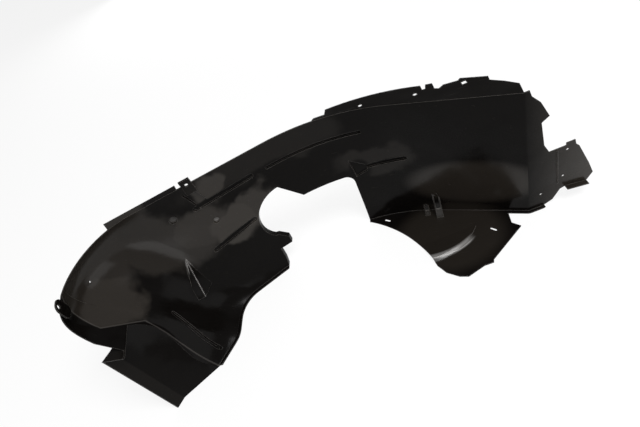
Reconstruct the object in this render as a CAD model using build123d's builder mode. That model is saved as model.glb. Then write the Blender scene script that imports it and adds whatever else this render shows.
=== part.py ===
"""Wheel arch liner: one thin moulding that wraps the wheel, with a lip flange, a flap on its inner side,
a strut opening, a forward panel and a stepped foot.

Millimetres. Z runs along the wheel axis, up towards the outside of the car, so the liner lies on the edge
of its inner side. X runs along the car, from the foot to the forward panel, and +Y is up in the car. The
outlines below are laid out from a level near the ridge of the foot, and the finished liner is moved to
stand on the middle of its box.
"""
import os

from build123d import *

os.makedirs("parts", exist_ok=True)

# Sheet
wall = 2.5
arch_width = 340
inner_edge = 8
beyond = 10

# Arch, seen along the wheel axis: the leg, the shoulder, the crown and the fold to the forward panel
foot_round = 10
knee_round = 60
crown_corner = (93, 363)
crown_round = 420
front_corner = (483, 242)
front_round = 10
front_reach = 160
front_angle = 12
close_y = -200

# Leg, which steps in towards the wheel, at even heights from the inner side up: its x, the y of its knee,
# the ridge of its foot in x and y, and how far the strip below the ridge leans over its drop
leg_x = [-240, -312, -361, -438, -452]
leg_knee = [51, 45, 42, 30, 26]
foot_ridge = [(-280, -20), (-327, 0), (-368, 21), (-435, -17), (-450.5, 9)]
foot_lean = [-24, 0, 13, 28, 28]
foot_drop = 80
shoulder_y = 146
shoulder_round_inner = 90
shoulder_round_lip = 170

# Apron under the leg, at the inner side and at its top: the fold at the leg, the lower fold and the lip
apron_top = 205
apron_fold = [(-276, -19), (-382, 29)]
apron_lower = [(-358, -83), (-412, -56)]
apron_lip = (-12, -22)
apron_depth = 260

# Beads and studs pressed outwards into the arch, in x and height: ends and width, middle and radius
press_depth = 5
beads = [
    ((-234, 270), (-100, 277), 12),
    ((-60, 276), (160, 279), 8),
    ((-238, 155), (-135, 172), 12),
    ((152, 177), (239, 187), 12),
]
studs = [((-287, 272), 9), ((-208, 220), 7)]
pocket = [(112, 206), (150, 182), (148, 164), (118, 152)]
pad_middle = (-221, 294)
pad_size = (26, 56)
pad_turn = 17

# Bead pressed outwards into the leg, in y and height
leg_bead = ((59, 134), (18, 16), 8)

# Dart pressed inwards from the shoulder: its foot in x and y, the height of the foot, and its apex
dart_foot = [(-318, 110), (-290, 119), (-276, 178)]
dart_height = 88
dart_apex = (-305, 176, 180)
dart_skin = (-1.28 * wall, 0.96 * wall, wall)

# Strut opening, in x and height, with a turned rim
opening_right = 110
opening_top = 160
opening_round = 22
opening_point = (-15, 159)
hollow_top = (-60, 216)
hollow_side = (-128, 160)
hollow_foot = (-112, 97)
hook = [(-105, 94), (-87, 72), (-86, 52), (-116, 53), (-113, 21)]
rim_height = 8

# Flap on the inner side, in x and y
flap_tip = (77, 329)
flap_hollow = (212, 226)
flap_toe = (256, 140)
flap_bottom = [(273, 117), (299, 101), (318, 97)]
flap_heel = [(356, 117), (377, 121), (379, 129)]
flap_side = (456, 204)
flap_slit = (439, 218)
flap_slots = [((156, 305), -30), ((397, 210), -40)]
slot_size = (16, 5)

# Dish raised on the flap: its crescent edge in x and y, its height at the flap's toe, the run of the slope
# behind that edge, and the height of the edge's upright part, with the run and rise of the bevel over it
crescent = [(259, 150), (318, 177), (362, 232)]
crescent_height = 8
crescent_run = 60
crescent_step = 5
crescent_bevel = (24, 11)

# Gussets across the corner of the flap: x, width, height and reach
gussets = [(286, 16, 65, 24), (258, 12, 24, 20)]

# Lip flange, in x and y
plate_flange = [(-391, 155), (-414, 181), (-250, 247), (-240, 230)]
lip_start = (70, 340)
lip_notch = [(74, 346), (99, 348)]
lip_arc = [(101, 365), (200, 371), (308, 353)]
lip_tabs = [(310, 338), (316, 338), (318, 352), (332, 350), (334, 331), (342, 327), (352, 335), (381, 335),
            (386, 341), (437, 322), (437, 309), (461, 293)]
lip_end = 32

# Clip tab, which stands up from the edge of the lip
clip_middle = (-218, 239)
clip_angle = 22
clip_tab_width = 25
clip_tab_rise = 14
clip_tab_depth = 26

# Lower edge of the foot: its y beside the apron and at the lip, and how far below the lip it bends
foot_edge = [-59, -28]
foot_bend = 90

# Tab at the lip end of the foot, along the strip below the ridge
foot_tab_rise = 13
foot_tab_start = 14
foot_tab_end = 46
foot_tab_depth = 30
foot_tab_hole = (33, 4)

# Fixing holes
clip_hole = 8.5
panel_hole = 6
drain_hole = 4
drain_place = (75, 284)
lip_holes = [(179, 345), (294, 330)]
lip_window = (391, 324)
lip_window_size = 10

# Forward panel, along it from its fold and in height: the edge on the lip side, the arm and the lower edge
panel_teeth = [(9, 5), (14, -15), (31, -37), (48, -78), (32, -88)]
panel_arm = [(37, 190), (48, 164), (84, 164), (84, 171), (103, 171), (105, 158), (112, 150), (136, 87),
             (147, 52)]
panel_lower = [(133, 32), (84, 40), (73, 37), (56, 11), (33, 1)]
panel_holes = [(87, 152), (79, 76), (29, 42)]
panel_lip = 12
panel_rib = [(64, 160), (67, 60)]


def arch_face(level, grow):
    """The whole wheel side at one of the leg's levels, moved out by grow."""
    share = level / (len(leg_x) - 1)
    x = leg_x[level]
    ridge = Vector(*foot_ridge[level])
    tip = Vector(*front_corner) + Vector(front_reach, 0).rotate(Axis.Z, front_angle)
    shoulder_round = shoulder_round_inner + share * (shoulder_round_lip - shoulder_round_inner)
    with BuildSketch() as face:
        with BuildLine():
            line = FilletPolyline(
                ridge + Vector(foot_lean[level], -foot_drop),
                ridge,
                (x, leg_knee[level]),
                (x, shoulder_y),
                crown_corner,
                front_corner,
                tip,
                radius=[foot_round, knee_round, shoulder_round, crown_round, front_round],
            )
            Polyline(line @ 1, ((line @ 1).X, close_y), ((line @ 0).X, close_y), line @ 0)
        make_face()
        if grow:
            offset(amount=grow, kind=Kind.INTERSECTION)
    return face.sketch


def arch_block(grow, floor):
    """The space on the wheel side of the sheet, moved out by grow, from the floor height up."""
    step = arch_width / (len(leg_x) - 1)
    with BuildPart() as block:
        for level in range(len(leg_x)):
            with BuildSketch(Plane.XY.offset(max(level * step, floor))):
                add(arch_face(level, grow))
        loft()
    return block.part


def apron_block(grow, bottom, top):
    """The space over the apron, which is set back from the leg, moved out by grow."""
    with BuildPart() as block:
        for height in (bottom, top):
            share = height / apron_top
            fold = Vector(*apron_fold[0]) + (Vector(*apron_fold[1]) - Vector(*apron_fold[0])) * share
            lower = Vector(*apron_lower[0]) + (Vector(*apron_lower[1]) - Vector(*apron_lower[0])) * share
            end = lower + Vector(*apron_lip) * 2
            with BuildSketch(Plane.XY.offset(height)):
                with BuildLine():
                    inside = lower.X + apron_depth
                    Polyline(fold, lower, end, (inside, end.Y), (inside, fold.Y), close=True)
                make_face()
                if grow:
                    offset(amount=grow, kind=Kind.INTERSECTION)
        loft(ruled=True)
    return block.part


def bead_outline(start, end, width):
    """A long round-ended outline between two points of the sketch."""
    run = Vector(*end) - Vector(*start)
    turn = Vector(1, 0).get_signed_angle(run, Vector(0, 0, 1))
    with Locations((Vector(*end) + Vector(*start)) / 2):
        SlotCenterToCenter(run.length, width, rotation=turn)


def pressed_bars(grow):
    """The beads, studs, pad and pocket, as bars that stand out of the arch by their depth."""
    with BuildPart() as bars:
        with BuildSketch(Plane.XZ):
            for start, end, width in beads:
                bead_outline(start, end, width)
            for middle, radius in studs:
                with Locations(middle):
                    Circle(radius)
            with Locations(pad_middle):
                Rectangle(*pad_size, rotation=pad_turn)
            with BuildLine():
                Polyline(*pocket, close=True)
            make_face()
            if grow:
                offset(amount=grow)
        extrude(amount=-2 * crown_corner[1])
        with BuildSketch(Plane.YZ.offset(2 * leg_x[-1])):
            bead_outline(*leg_bead)
            if grow:
                offset(amount=grow)
        extrude(amount=leg_x[0] - 2 * leg_x[-1])
        add(arch_block(press_depth + grow, 0), mode=Mode.INTERSECT)
    return bars.part


def dart_block():
    """The dart in the shoulder, which rises from its apex to a ridge over its foot."""
    with BuildPart() as block:
        with BuildSketch(Plane.XY.offset(dart_height)) as foot:
            with BuildLine():
                Polyline(*dart_foot, close=True)
            make_face()
        loft(sections=[foot.sketch.face(), Vertex(*dart_apex)])
    return block.part


def opening_face(grow):
    """The outline of the strut opening, in x and height, moved out by grow."""
    with BuildSketch() as face:
        with BuildLine():
            Polyline((opening_right, -beyond), (opening_right, opening_top), opening_point, hollow_top)
            ThreePointArc(hollow_top, hollow_side, hollow_foot)
            Polyline(hollow_foot, *hook, (hook[-1][0], -beyond), (opening_right, -beyond))
        make_face()
        fillet(face.vertices().sort_by_distance((opening_right, opening_top))[0], opening_round)
        if grow:
            offset(amount=grow)
    return face.sketch


def opening_cap():
    """A cap over the strut opening, outside the sheet; the opening cut through it leaves the rim."""
    with BuildPart() as cap:
        with BuildSketch(Plane.XZ.offset(-shoulder_y)):
            add(opening_face(wall))
        extrude(amount=-crown_corner[1])
        add(arch_block(wall + rim_height, 0), mode=Mode.INTERSECT)
        add(arch_block(wall / 2, 0), mode=Mode.SUBTRACT)
    return cap.part


def gusset_bars(grow):
    """The gussets of the flap, as three-sided bars; the sheet's share of them is their skin."""
    slope = (front_corner[1] - crown_corner[1]) / (front_corner[0] - crown_corner[0])
    with BuildPart() as bars:
        for x, width, height, reach in gussets:
            root = crown_corner[1] + slope * (x - crown_corner[0])
            with BuildSketch(Plane.YZ.offset(x)):
                with BuildLine():
                    Polyline(
                        (root + 2 * grow, height + grow),
                        (root - reach - grow, 0),
                        (root + 2 * grow, 0),
                        close=True,
                    )
                make_face()
            extrude(amount=width / 2 - wall + grow, both=True)
    return bars.part


def flap_face():
    """The outline of the flap, in x and y."""
    with BuildSketch() as face:
        with BuildLine():
            root = crown_corner[1]
            Polyline(flap_tip, (flap_tip[0], root), (flap_slit[0], root), flap_slit, flap_side)
            Polyline(flap_side, *reversed(flap_heel), *reversed(flap_bottom), flap_toe)
            ThreePointArc(flap_toe, flap_hollow, flap_tip)
        make_face()
    return face.sketch


def dish_block(grow):
    """The space under the dish of the flap, moved out by grow: a bevelled round block with a sloping top."""
    edge = ThreePointArc(*crescent)
    middle = edge.arc_center
    crest = Vector(*crescent[0])
    rise = (crest - middle).normalized() * (crescent_height / crescent_run)
    top = Plane(origin=(crest.X, crest.Y, crescent_height + grow), z_dir=(-rise.X, -rise.Y, 1))
    side = edge.radius - wall + grow
    step = crescent_step - wall + grow
    run, lift = crescent_bevel
    with BuildPart() as block:
        with BuildSketch(Plane(origin=middle, x_dir=(1, 0, 0), z_dir=(0, -1, 0))):
            with BuildLine():
                Polyline(
                    (0, -beyond),
                    (side, -beyond),
                    (side, step),
                    (side - run, step + lift),
                    (0, step + lift),
                    close=True,
                )
            make_face()
        revolve(axis=Axis(middle, (0, 0, 1)))
        split(bisect_by=top, keep=Keep.BOTTOM)
    return block.part


def dish_skin():
    """The dish as the top of the flap, cut off at the flap's outline."""
    with BuildPart() as skin:
        with BuildSketch():
            add(flap_face())
        extrude(amount=4 * beyond)
        add(dish_block(wall), mode=Mode.INTERSECT)
    return skin.part


with BuildPart() as liner:
    # The sheet is what lies between the wheel side and the same shape moved out by the wall
    add(arch_block(wall, 0))
    add(apron_block(wall, 0, apron_top + wall))
    add(pressed_bars(wall))
    add(arch_block(0, wall), mode=Mode.SUBTRACT)
    add(apron_block(0, -beyond, apron_top), mode=Mode.SUBTRACT)
    add(pressed_bars(0), mode=Mode.SUBTRACT)

    # The leg ends at the foot, and the apron at its lip
    lip_low = apron_lower[0][1] + apron_lip[1]
    lip_high = apron_lower[1][1] + apron_lip[1]
    far = arch_width + beyond
    with BuildSketch(Plane.YZ.offset(2 * leg_x[-1])):
        with BuildLine():
            Polyline(
                (lip_low, -beyond),
                (lip_low, 0),
                (lip_high, apron_top),
                (lip_high, apron_top + wall),
                (foot_edge[0], apron_top + wall),
                (foot_edge[0], arch_width - foot_bend),
                (foot_edge[1], arch_width),
                (foot_edge[1], far),
                (2 * close_y, far),
                (2 * close_y, -beyond),
                close=True,
            )
        make_face()
    extrude(amount=4 * front_corner[0], mode=Mode.SUBTRACT)

    # The inner side is open inside a narrow edge, apart from the flap
    with BuildSketch(Plane.XY.offset(-beyond)):
        add(arch_face(0, -inner_edge))
        add(flap_face(), mode=Mode.SUBTRACT)
    extrude(amount=beyond + wall, mode=Mode.SUBTRACT)

    # Strut opening and its rim
    add(opening_cap())
    with BuildSketch(Plane.XZ.offset(-shoulder_y)):
        add(opening_face(0))
    extrude(amount=-crown_corner[1], mode=Mode.SUBTRACT)

    # Forward panel: its outline, and the space before it
    along = Vector(1, 0).rotate(Axis.Z, front_angle)
    facing = Vector(0, -1).rotate(Axis.Z, front_angle)
    panel = Plane(origin=(*front_corner, 0), x_dir=along, z_dir=facing)
    teeth = [(x, arch_width + z) for x, z in panel_teeth]
    outside = [(2 * front_reach, -beyond), (2 * front_reach, 2 * arch_width), (0, 2 * arch_width)]
    with BuildSketch(panel.offset(-4 * beyond)):
        with BuildLine():
            start = (0, arch_width + beyond)
            end = (-beyond, -beyond)
            Polyline(start, *teeth, *panel_arm, *panel_lower, end, *outside, close=True)
        make_face()
    extrude(amount=8 * beyond, mode=Mode.SUBTRACT)
    with BuildSketch(panel.offset(3 * beyond)):
        with BuildLine():
            Polyline((-beyond, -beyond), *outside[:2], (-beyond, 2 * arch_width), close=True)
        make_face()
    extrude(amount=2 * front_corner[0], mode=Mode.SUBTRACT)

    # Lip flange and plate flange
    with BuildSketch(Plane.XY.offset(arch_width - wall)):
        with BuildLine():
            Polyline(lip_start, *lip_notch, lip_arc[0])
            ThreePointArc(*lip_arc)
            corner = (front_corner[0], front_corner[1] + lip_end)
            Polyline(lip_arc[2], *lip_tabs, corner, front_corner, (lip_start[0], 0), lip_start)
        make_face()
        with BuildLine():
            Polyline(*plate_flange, (plate_flange[-1][0], 0), (plate_flange[0][0], 0), close=True)
        make_face()
        add(arch_face(len(leg_x) - 1, wall / 2), mode=Mode.SUBTRACT)
    extrude(amount=wall)

    # Clip tab, with its hole
    clip_face = Plane(
        origin=(*clip_middle, arch_width),
        x_dir=Vector(1, 0).rotate(Axis.Z, clip_angle),
        z_dir=Vector(0, -1).rotate(Axis.Z, clip_angle),
    )
    with BuildSketch(clip_face):
        with Locations((0, (clip_tab_rise - clip_tab_depth) / 2)):
            Rectangle(clip_tab_width, clip_tab_rise + clip_tab_depth)
    extrude(amount=wall, both=True)
    with BuildSketch(clip_face):
        Circle(clip_hole / 2)
    extrude(amount=beyond, both=True, mode=Mode.SUBTRACT)

    # Tab at the foot, with its hole, and the drain hole in the leg
    down = Vector(foot_lean[-1], -foot_drop)
    strip = Plane(origin=(*foot_ridge[-1], arch_width), x_dir=down, z_dir=Vector(down.Y, -down.X))
    with BuildSketch(strip):
        with Locations(((foot_tab_start + foot_tab_end) / 2, (foot_tab_rise - foot_tab_depth) / 2)):
            RectangleRounded(foot_tab_end - foot_tab_start, foot_tab_rise + foot_tab_depth, foot_tab_rise)
    extrude(amount=wall)
    with BuildSketch(strip):
        with Locations(foot_tab_hole):
            Circle(clip_hole / 2)
    extrude(amount=beyond, both=True, mode=Mode.SUBTRACT)
    with BuildSketch(Plane.YZ.offset(leg_x[-1])):
        with Locations(drain_place):
            Circle(drain_hole / 2)
    extrude(amount=3 * beyond, both=True, mode=Mode.SUBTRACT)

    # Dart, hollow from outside
    add(dart_block())
    add(dart_block().moved(Location(dart_skin)), mode=Mode.SUBTRACT)

    # Dish and gussets of the flap
    add(dish_skin())
    add(dish_block(0), mode=Mode.SUBTRACT)
    add(gusset_bars(wall))
    add(gusset_bars(0), mode=Mode.SUBTRACT)

    # Rib across the arm of the forward panel, and the turned lip along its lower edge
    with BuildSketch(panel):
        with BuildLine():
            Polyline(*panel_rib)
        trace(line_width=wall)
    extrude(amount=wall)
    with BuildSketch(panel):
        with BuildLine():
            Line(*panel_lower[:2])
        trace(line_width=wall)
    extrude(amount=panel_lip)

    # Fixing holes of the lip, slots of the flap and fixing holes of the forward panel
    with BuildSketch(Plane.XY.offset(arch_width - 2 * wall)):
        with Locations(*lip_holes):
            Circle(clip_hole / 2)
        with Locations(lip_window):
            Rectangle(lip_window_size, lip_window_size, rotation=front_angle)
    extrude(amount=beyond, mode=Mode.SUBTRACT)
    with BuildSketch(Plane.XY.offset(-wall)):
        for place, turn in flap_slots:
            with Locations(Location(place, turn)):
                SlotOverall(*slot_size)
    extrude(amount=3 * wall, mode=Mode.SUBTRACT)
    with BuildSketch(panel):
        with Locations(*panel_holes):
            Circle(panel_hole / 2)
    extrude(amount=beyond, both=True, mode=Mode.SUBTRACT)

# The finished liner stands on the middle of its box
box = liner.part.bounding_box()
middle = box.center()
finished = liner.part.moved(Location((-middle.X, -middle.Y, -box.min.Z)))
finished.label = "wheel_arch_liner"
export_step(finished, "parts/wheel_arch_liner.step")
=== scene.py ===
"""Wheel arch liner in gloss black plastic, lying on its inner edge on a white studio floor.

Metres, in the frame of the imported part: +Z runs along the wheel axis, +X from the foot to the forward panel.
"""
from functools import reduce
from math import pi

import bmesh
import bpy
from mathutils import Matrix, Vector

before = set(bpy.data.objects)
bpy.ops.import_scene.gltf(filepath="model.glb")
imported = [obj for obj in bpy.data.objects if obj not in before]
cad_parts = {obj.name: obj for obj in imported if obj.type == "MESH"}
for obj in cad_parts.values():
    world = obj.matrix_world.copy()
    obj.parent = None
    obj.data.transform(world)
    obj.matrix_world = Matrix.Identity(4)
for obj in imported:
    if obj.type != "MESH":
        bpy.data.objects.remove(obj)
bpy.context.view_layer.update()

# Camera of the photograph
camera_place = Vector((0.2186, -0.6333, 0.940))
camera_right = Vector((0.943738, 0.0, -0.330694))
camera_up = Vector((0.219653, 0.747538, 0.626849))
camera_lens = 27.0
sensor_width = 36.0
near_clip = 0.01

# Painted sheen: patches of painted reflection in the plastic's colour, each with a real gloss coat, whose
# edges wander.
# Each patch, here and below, is its middle and its reach in metres, its turn in radians and its strength.
painted_sheen_patches = {
    "leg": ((-0.540, -0.035, 0.310), (0.14, 0.16, 0.13), (0, 0, 0), 0.55),
    "leg_foot": ((-0.500, -0.105, 0.240), (0.08, 0.10, 0.08), (0, 0, 0), 0.8),
    "shoulder": ((-0.420, 0.050, 0.250), (0.19, 0.11, 0.085), (0, 0.75, 0), 0.52),
    "upper_bead": ((-0.315, 0.090, 0.225), (0.10, 0.07, 0.07), (0, 0, 0), 0.65),
    "gap_side": ((-0.250, 0.108, 0.185), (0.09, 0.07, 0.07), (0, 0, 0), 0.9),
    "gap_rim": ((-0.190, 0.140, 0.215), (0.07, 0.06, 0.05), (0, 0, 0), 0.75),
    "lip_corner": ((-0.270, 0.120, 0.310), (0.06, 0.05, 0.05), (0, 0, 0), 0.8),
    "lip_edge": ((-0.140, 0.165, 0.320), (0.26, 0.06, 0.06), (0, 0, 0.35), 0.2),
    "crown": ((0.090, 0.195, 0.195), (0.12, 0.06, 0.06), (0, 0, 0), 0.25),
}
# Painted sheen, with its coat, on the plate and the flap, in patches with calm edges
calm_painted_sheen_patches = {
    "plate": ((0.285, 0.137, 0.100), (0.18, 0.14, 0.085), (0, 0, 0), 0.65),
    "flap": ((0.215, 0.085, 0.000), (0.16, 0.13, 0.06), (0, 0, 0), 0.55),
}
# How far the edges wander at most, and the noise that leads them
sheen_wander = 0.06
wander_noise = {"Scale": 12.0, "Detail": 3.0}
noise_middle = (0.5, 0.5, 0.5)
# Where a patch starts and where it is full, on a scale from 0 at its reach to 1 at its middle
patch_start = 0.05
patch_full = 0.38
# Painted shade in the grooves of the beads and the pocket: the painted sheen and its coat are taken out there
painted_shade_grooves = {
    "upper": ((-0.2485, 0.09, 0.2735), (0.086, 0.20, 0.010), (0, -0.052, 0), 1.0),
    "lower": ((-0.2680, 0.09, 0.1635), (0.068, 0.20, 0.010), (0, -0.164, 0), 1.0),
    "front": ((0.1140, 0.19, 0.1820), (0.058, 0.20, 0.010), (0, -0.114, 0), 1.0),
    "pocket": ((0.0500, 0.20, 0.1740), (0.032, 0.20, 0.038), (0, 0, 0), 1.0),
}
# Forward panel, in x: its painted sheen and coat go from the first amount at the fold to the second at the end
# of its arm
panel_fold = 0.4015
panel_end = 0.545
panel_painted_sheen = (0.0, 1.0)
# Width over which the painted sheen and coat give way to bare plastic at a fold
fold_edge = 0.002
# Ridge of the foot, with a painted highlight along a thin line, and no painted sheen or coat under it so that
# the strip below reads as painted shade: three straight stretches between these points, in height and y, from
# the inner side to the lip, and half the width of the line
ridge_inner = (0.0, -0.1533)
ridge_peak = (0.178, -0.1103)
ridge_dip = (0.243, -0.1523)
ridge_lip = (0.340, -0.1243)
ridge_width = 0.002
# Thin painted sheen, with its coat, on the lip of the apron: under a fold, given by its y at height 0 and its
# slope, up to a height
apron_fold = -0.2163
apron_lean = 0.132
apron_top = 0.207
apron_painted_sheen = 0.12

# Painted highlight along the ridge of the dart
dart_ridge_highlight = ((-0.3785, 0.0145, 0.134), (0.012, 0.012, 0.065), (-0.549, -0.161, 0), 1.0)
# Painted highlight on the bevel of the flap's dish: the middle of its round, the radius and half the width of
# a broad band and then of a thin line at its foot, and the patch in which both are painted
dish_middle = (0.1684, 0.1708, 0.008)
dish_radius = 0.1420
dish_band = 0.0085
dish_foot = 0.1460
dish_line = 0.0016
dish_highlight_patch = ((0.200, 0.035, 0.008), (0.09, 0.08, 0.04), (0, 0, 0), 0.42)
# Painted highlights on the studs in the shoulder
stud_highlights = {
    "outer": ((-0.3685, 0.0806, 0.272), (0.012, 0.02, 0.009), (0, 0, 0), 0.10),
    "inner": ((-0.2895, 0.1013, 0.220), (0.008, 0.02, 0.006), (0, 0, 0), 0.30),
}

# Edges: the radius that they shine with and the radius over which they are worn
edge_round = 0.0035
wear_round = 0.0014
bevel_samples = 6
# How far a rounded normal leaves the true one where wear and the dart's painted highlight start, and where
# they are full on an edge and on the dart
wear_start = 0.02
wear_full = 0.2
dart_full = 0.12
# Painted highlight on the foot's ridge beside the wear of an edge, and the share of both that is left where
# the melt shows no flow
ridge_highlight_share = 0.3
least_wear_and_highlight = 0.3

# Marks: flow of the melt in broad soft clouds, scuffs that are long and thin, and dust in fine specks
flow_noise = {"Scale": 7.0, "Detail": 3.0, "Distortion": 0.8}
scuff_stretch = {"Rotation": (0.3, 0.2, 0.7), "Scale": (6, 90, 40)}
scuff_noise = {"Scale": 3.0, "Detail": 4.0}
scuff_range = (0.66, 0.74)
dust_noise = {"Scale": 260.0, "Detail": 2.0}
dust_range = (0.68, 0.78)
# Skin: broad waves of the sheet and the grain of the mould
wave_noise = {"Scale": 9.0, "Detail": 2.0, "Roughness": 0.4}
wave_bump = {"Strength": 1.0, "Distance": 0.006}
grain_noise = {"Scale": 420.0, "Detail": 2.0}
grain_bump = {"Strength": 0.12, "Distance": 0.0004}

# Colours of the bare plastic, of the painted sheen and the haze of marks, of worn edges and the ridge's
# painted highlight, and of painted highlights
bare_black = (0.0020, 0.0017, 0.0016, 1)
sheen_and_haze_brown = (0.031, 0.0258, 0.0205, 1)
wear_and_highlight_grey = (0.13, 0.12, 0.11, 1)
painted_highlight_pale = (0.35, 0.34, 0.33, 1)
# How far each mark takes the colour from the bare plastic's to the sheen's: the painted sheen, and the real
# haze of flow, scuffs and dust
sheen_and_haze_from = {"coat_and_painted_sheen": 0.6, "flow": 0.06, "scuffs": 0.08, "dust": 0.08}
# Roughness of the bare plastic, and what each mark adds to it
base_roughness = 0.13
roughness_from = {"flow": 0.1, "scuffs": 0.2, "dust": 0.1, "wear_and_ridge_highlight": 0.2}
# Shine of the bare plastic, and the coat that goes with the painted sheen
base_gloss = 0.06
film_coat = 0.45
coat_roughness = 0.16

# Studio
white = (1, 1, 1, 1)
floor_half = 20.0
floor_paint = (0.9, 0.9, 0.9, 1)
floor_glow = 0.8
room_light = 0.45
# Lamps: place, the point that each faces, width and height in metres, and the brightness of its face
lamps = {
    "key_lamp": ((0.2, -0.7, 2.6), (0, 0, 0.1), (1.6, 1.6), 3.2),
    "top_lamp": ((1.1, -0.4, 2.6), (0, 0, 0.1), (0.9, 0.9), 14.0),
    "front_panel": ((0.1, -2.6, 0.4), (0, 0, 0.3), (2.0, 0.8), 2.0),
    "side_panel": ((2.6, -0.4, 0.65), (0, 0, 0.3), (2.2, 1.3), 1.35),
    "back_panel": ((-0.3, 2.8, 0.6), (0, 0, 0.2), (2.6, 1.0), 4.0),
}


class Wire:
    """One output of a shader node; arithmetic on it adds Math nodes to the same tree."""

    def __init__(self, tree, socket):
        self.tree = tree
        self.socket = socket

    def math(self, operation, first, second):
        return self.tree.wire("ShaderNodeMath", {"operation": operation}, {0: first, 1: second})

    def __add__(self, other):
        return self.math("ADD", self, other)

    def __radd__(self, other):
        return self.math("ADD", other, self)

    def __sub__(self, other):
        return self.math("SUBTRACT", self, other)

    def __rsub__(self, other):
        return self.math("SUBTRACT", other, self)

    def __mul__(self, other):
        return self.math("MULTIPLY", self, other)

    def __rmul__(self, other):
        return self.math("MULTIPLY", other, self)

    def highest(self, other):
        return self.math("MAXIMUM", self, other)

    def lowest(self, other):
        return self.math("MINIMUM", self, other)


class Tree:
    """The nodes of one material or of the world."""

    def __init__(self, owner):
        owner.use_nodes = True
        self.owner = owner
        self.nodes = owner.node_tree.nodes
        self.links = owner.node_tree.links
        self.nodes.clear()

    def node(self, kind, settings, sockets):
        made = self.nodes.new(kind)
        for name, value in settings.items():
            setattr(made, name, value)
        for name, value in sockets.items():
            if isinstance(value, Wire):
                self.links.new(value.socket, made.inputs[name])
            else:
                made.inputs[name].default_value = value
        return made

    def wire(self, kind, settings, sockets, output=0):
        return Wire(self, self.node(kind, settings, sockets).outputs[output])

    def vector(self, operation, sockets, output=0):
        return self.wire("ShaderNodeVectorMath", {"operation": operation}, sockets, output)

    def noise(self, place, look, output=0):
        return self.wire("ShaderNodeTexNoise", {}, {"Vector": place, **look}, output)

    def rounded_normal(self, radius):
        return self.wire("ShaderNodeBevel", {"samples": bevel_samples}, {"Radius": radius})

    def bump(self, look, height, normal):
        return self.wire("ShaderNodeBump", {}, {"Height": height, "Normal": normal, **look})

    def blend(self, amount, under, over):
        # Inputs 6 and 7 and output 2 of this node are its colours
        sockets = {0: amount, 6: under, 7: over}
        return self.wire("ShaderNodeMix", {"data_type": "RGBA"}, sockets, 2)


def soft_patch(tree, place, middle, reach, turn, strength):
    """A soft-edged round patch: its strength near its middle, falling to nothing at its reach."""
    local = tree.wire(
        "ShaderNodeMapping",
        {"vector_type": "TEXTURE"},
        {"Vector": place, "Location": middle, "Rotation": turn, "Scale": reach},
    )
    ball = tree.wire("ShaderNodeTexGradient", {"gradient_type": "SPHERICAL"}, {"Vector": local}, "Fac")
    return tree.wire(
        "ShaderNodeMapRange",
        {"interpolation_type": "SMOOTHSTEP"},
        {"Value": ball, "From Min": patch_start, "From Max": patch_full, "To Min": 0.0, "To Max": strength},
    )


def ramp(tree, value, start, end, low=0.0, high=1.0):
    """A value's way from start to end, turned into low to high."""
    return tree.wire(
        "ShaderNodeMapRange",
        {},
        {"Value": value, "From Min": start, "From Max": end, "To Min": low, "To Max": high},
    )


def line_at(tree, away, half_width):
    """One on a line and nothing at half its width away from it."""
    return ramp(tree, away * away, half_width * half_width, 0.0)


def straight(height, start, end):
    """The y of the straight line through two points, given in height and y, at any height."""
    slope = (end[1] - start[1]) / (end[0] - start[0])
    return height * slope + (start[1] - start[0] * slope)


def foot_ridge(height):
    """The y of the foot's ridge at any height."""
    inner = straight(height, ridge_inner, ridge_peak)
    middle = straight(height, ridge_peak, ridge_dip)
    outer = straight(height, ridge_dip, ridge_lip)
    return inner.lowest(middle).highest(outer)


def gloss_and_painted_sheen(tree, place, along, rise, height, over_foot):
    """Painted sheen and its coat, from 0 to 1: soft patches, the forward panel and the apron's lip, taken out
    as painted shade in the grooves and under the foot's ridge.
    """
    drift = tree.noise(place, wander_noise, "Color")
    centred = tree.vector("SUBTRACT", {0: drift, 1: noise_middle})
    moved = tree.vector("SCALE", {0: centred, "Scale": 2 * sheen_wander})
    wandering = tree.vector("ADD", {0: place, 1: moved})
    patches = [soft_patch(tree, wandering, *patch) for patch in painted_sheen_patches.values()]
    patches += [soft_patch(tree, place, *patch) for patch in calm_painted_sheen_patches.values()]
    # Painted sheen on the forward panel, growing towards the end of its arm
    over_fold = ramp(tree, along, panel_fold, panel_fold + fold_edge)
    on_panel = over_fold * ramp(tree, along, panel_fold, panel_end, *panel_painted_sheen)
    coat_and_painted_sheen = reduce(Wire.highest, patches) * (1 - over_fold) + on_panel
    # Painted shade: the grooves lose the painted sheen and its coat
    for groove in painted_shade_grooves.values():
        coat_and_painted_sheen = coat_and_painted_sheen * (1 - soft_patch(tree, place, *groove))
    # Painted shade under the foot's ridge: no painted sheen or coat below it
    sheen_above_ridge = ramp(tree, over_foot, -ridge_width, ridge_width)
    # Thin painted sheen on the apron's lip
    under_fold = ramp(tree, rise - height * apron_lean, apron_fold, apron_fold - fold_edge)
    on_apron = ramp(tree, height, apron_top + fold_edge, apron_top)
    return coat_and_painted_sheen * sheen_above_ridge + under_fold * on_apron * apron_painted_sheen


def bent_edge(tree, radius, full):
    """One at an edge, where the normal rounded by a radius leaves the true one by the full amount."""
    true_normal = tree.wire("ShaderNodeNewGeometry", {}, {}, "Normal")
    alike = tree.vector("DOT_PRODUCT", {0: tree.rounded_normal(radius), 1: true_normal}, "Value")
    return ramp(tree, 1 - alike, wear_start, full)


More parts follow.
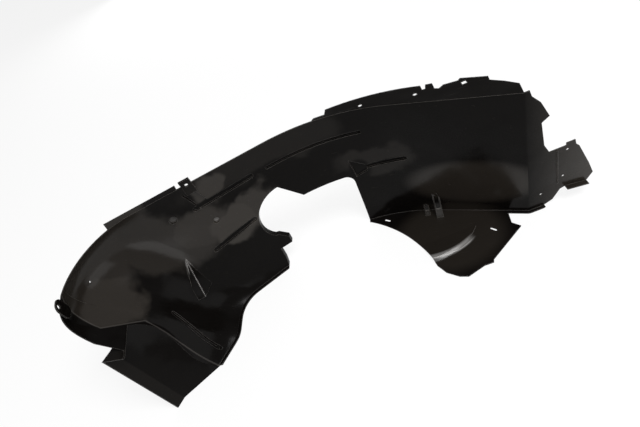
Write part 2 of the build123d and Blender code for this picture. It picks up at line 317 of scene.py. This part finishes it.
def painted_highlights(tree, place):
    """Painted highlights: on the dart's ridge, the dish's bevel and the studs."""
    painted_highlight = bent_edge(tree, edge_round, dart_full) * soft_patch(tree, place, *dart_ridge_highlight)
    from_dish = tree.vector("DISTANCE", {0: place, 1: dish_middle}, "Value")
    band = line_at(tree, from_dish - dish_radius, dish_band)
    foot = line_at(tree, from_dish - dish_foot, dish_line)
    painted_highlight = painted_highlight + (band + foot) * soft_patch(tree, place, *dish_highlight_patch)
    for stud in stud_highlights.values():
        painted_highlight = painted_highlight + soft_patch(tree, place, *stud)
    return painted_highlight


def black_plastic():
    """Moulded black: painted sheen with a gloss coat in patches, painted highlights, flow marks, scuffs, dust,
    fine grain and pale worn edges.
    """
    tree = Tree(bpy.data.materials.new("black_gloss_plastic"))
    place = tree.wire("ShaderNodeTexCoord", {}, {}, "Object")
    axes = tree.node("ShaderNodeSeparateXYZ", {}, {"Vector": place}).outputs
    along, rise, height = (Wire(tree, axis) for axis in axes)
    over_foot = rise - foot_ridge(height)
    coat_and_painted_sheen = gloss_and_painted_sheen(tree, place, along, rise, height, over_foot)

    flow = tree.noise(place, flow_noise)
    stretched = tree.wire("ShaderNodeMapping", {}, {"Vector": place, **scuff_stretch})
    scuffs = ramp(tree, tree.noise(stretched, scuff_noise), *scuff_range)
    dust = ramp(tree, tree.noise(place, dust_noise), *dust_range)
    # Painted highlight along the foot's ridge, added to the wear of the edges
    ridge_highlight = line_at(tree, over_foot, ridge_width)
    wear_and_ridge_highlight = (bent_edge(tree, wear_round, wear_full) + ridge_highlight * ridge_highlight_share) * (least_wear_and_highlight + flow)

    marks = {"coat_and_painted_sheen": coat_and_painted_sheen, "flow": flow, "scuffs": scuffs, "dust": dust, "wear_and_ridge_highlight": wear_and_ridge_highlight}
    # Painted sheen in the colour, with the real haze of flow, scuffs and dust
    painted_sheen_and_haze = reduce(Wire.__add__, [marks[name] * share for name, share in sheen_and_haze_from.items()])
    with_sheen_and_haze = tree.blend(painted_sheen_and_haze, bare_black, sheen_and_haze_brown)
    with_wear_and_highlight = tree.blend(wear_and_ridge_highlight, with_sheen_and_haze, wear_and_highlight_grey)
    # Painted highlights on the dart, the dish's bevel and the studs
    colour = tree.blend(painted_highlights(tree, place), with_wear_and_highlight, painted_highlight_pale)
    roughened = reduce(Wire.__add__, [marks[name] * share for name, share in roughness_from.items()])

    wavy = tree.bump(wave_bump, tree.noise(place, wave_noise), tree.rounded_normal(edge_round))
    skin = tree.bump(grain_bump, tree.noise(place, grain_noise), wavy)
    shader = tree.wire(
        "ShaderNodeBsdfPrincipled",
        {},
        {
            "Base Color": colour,
            "Roughness": base_roughness + roughened,
            "Normal": skin,
            "Coat Weight": coat_and_painted_sheen * film_coat,
            "Coat Roughness": coat_roughness,
            "Specular IOR Level": base_gloss,
        },
    )
    tree.node("ShaderNodeOutputMaterial", {}, {"Surface": shader})
    return tree.owner


def seen_ray(tree):
    """One for a ray that shows the background: from the camera, a reflection or through something clear."""
    path = tree.node("ShaderNodeLightPath", {}, {}).outputs
    names = ("Is Camera Ray", "Is Glossy Ray", "Is Transmission Ray")
    return reduce(Wire.highest, [Wire(tree, path[name]) for name in names])


def studio_floor():
    """A wide white floor that keeps a soft shadow."""
    tree = Tree(bpy.data.materials.new("studio_floor"))
    paint = tree.wire("ShaderNodeBsdfDiffuse", {}, {"Color": floor_paint})
    glow = tree.wire("ShaderNodeEmission", {}, {"Color": white, "Strength": 1.0})
    mixed = tree.wire("ShaderNodeMixShader", {}, {0: seen_ray(tree) * floor_glow, 1: paint, 2: glow})
    tree.node("ShaderNodeOutputMaterial", {}, {"Surface": mixed})
    shape = bmesh.new()
    bmesh.ops.create_grid(shape, x_segments=1, y_segments=1, size=floor_half)
    mesh = bpy.data.meshes.new("studio_floor")
    shape.to_mesh(mesh)
    shape.free()
    mesh.materials.append(tree.owner)
    floor = bpy.data.objects.new("studio_floor", mesh)
    bpy.context.scene.collection.objects.link(floor)


def studio_room():
    """Pale, even surroundings."""
    world = bpy.data.worlds.new("studio_room")
    bpy.context.scene.world = world
    tree = Tree(world)
    light = tree.wire("ShaderNodeBackground", {}, {"Color": white, "Strength": room_light})
    tree.node("ShaderNodeOutputWorld", {}, {"Surface": light})


def soft_lamp(name, place, target, size, brightness):
    """A studio lamp that faces its target, with its width and height in metres and its face's brightness."""
    lamp = bpy.data.lights.new(name, "AREA")
    lamp.shape = "RECTANGLE"
    lamp.size, lamp.size_y = size
    lamp.energy = brightness * pi * lamp.size * lamp.size_y
    holder = bpy.data.objects.new(name, lamp)
    holder.location = place
    holder.rotation_euler = (Vector(target) - Vector(place)).to_track_quat("-Z", "Y").to_euler()
    holder.visible_camera = False
    bpy.context.scene.collection.objects.link(holder)


def photo_camera():
    """The camera at the place and turn of the photograph."""
    lens = bpy.data.cameras.new("photo_camera")
    lens.lens = camera_lens
    lens.sensor_width = sensor_width
    lens.clip_start = near_clip
    holder = bpy.data.objects.new("photo_camera", lens)
    back = camera_right.cross(camera_up)
    turn = Matrix((camera_right, camera_up, back)).transposed()
    holder.matrix_world = Matrix.Translation(camera_place) @ turn.to_4x4()
    bpy.context.scene.collection.objects.link(holder)
    bpy.context.scene.camera = holder


plastic = black_plastic()
liner = bpy.data.objects["wheel_arch_liner"]
for material_slot in liner.material_slots:
    material_slot.material = plastic

studio_floor()
studio_room()
for lamp_name, lamp_look in lamps.items():
    soft_lamp(lamp_name, *lamp_look)
photo_camera()

bpy.context.scene.view_settings.view_transform = "Standard"
